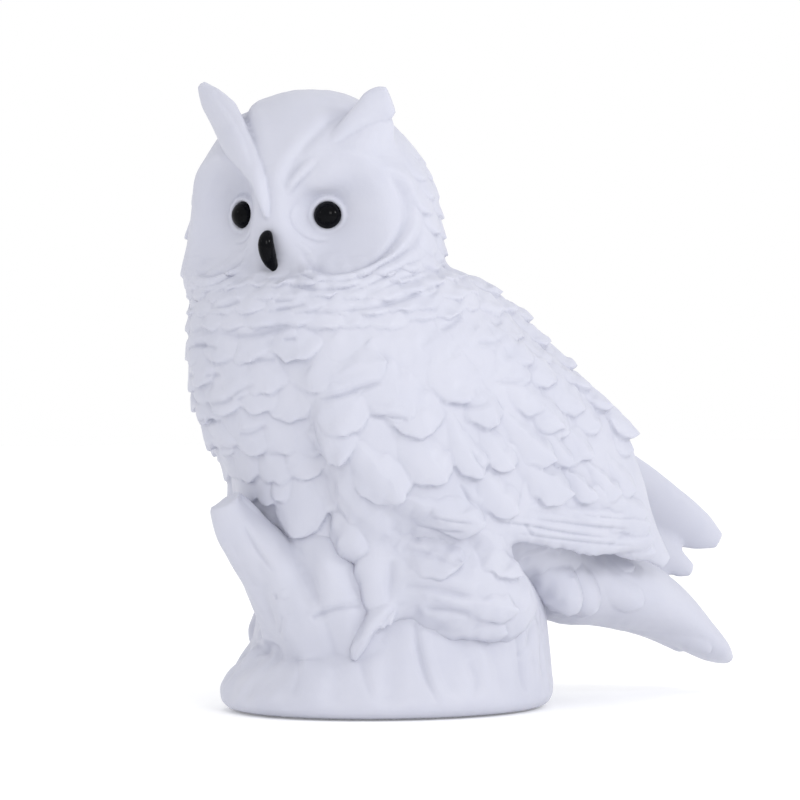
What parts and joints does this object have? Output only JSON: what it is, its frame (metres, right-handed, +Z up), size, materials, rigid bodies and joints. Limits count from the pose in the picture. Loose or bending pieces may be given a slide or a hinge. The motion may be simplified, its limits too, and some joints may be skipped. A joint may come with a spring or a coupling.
{
  "type": "owl figurine",
  "caption": "Hollow moulded owl figurine on a tree stump, head turned aside, with ear tufts, folded wings, long tail and glossy dark eyes and beak; stands on its flat base for display.",
  "frame": {"origin": "centre of the flat pad under the stump, on the surface that the figurine stands on", "axes": "+Z up; the owl's body faces -Y; the owl's left side is +X; the tail points to +Y"},
  "size_m": [0.1122, 0.2183, 0.2163],
  "materials": {
    "figure_white": "smooth matte white moulded soft plastic with a slightly waxy surface",
    "gloss_black": "polished gloss black",
    "base_plate": "plain matte light grey sheet",
    "base_pad": "short-pile white felt"
  },
  "bodies": {
    "root": {"body_shell": "figure_white", "head_shell": "figure_white", "left_wing": "figure_white", "right_wing": "figure_white", "tail": "figure_white", "left_leg": "figure_white", "right_leg": "figure_white", "left_foot": "figure_white", "right_foot": "figure_white", "stump": "figure_white", "left_eye": "gloss_black", "right_eye": "gloss_black", "beak": "gloss_black", "base_plate": "base_plate", "base_pad": "base_pad"}
  },
  "joints": []
}
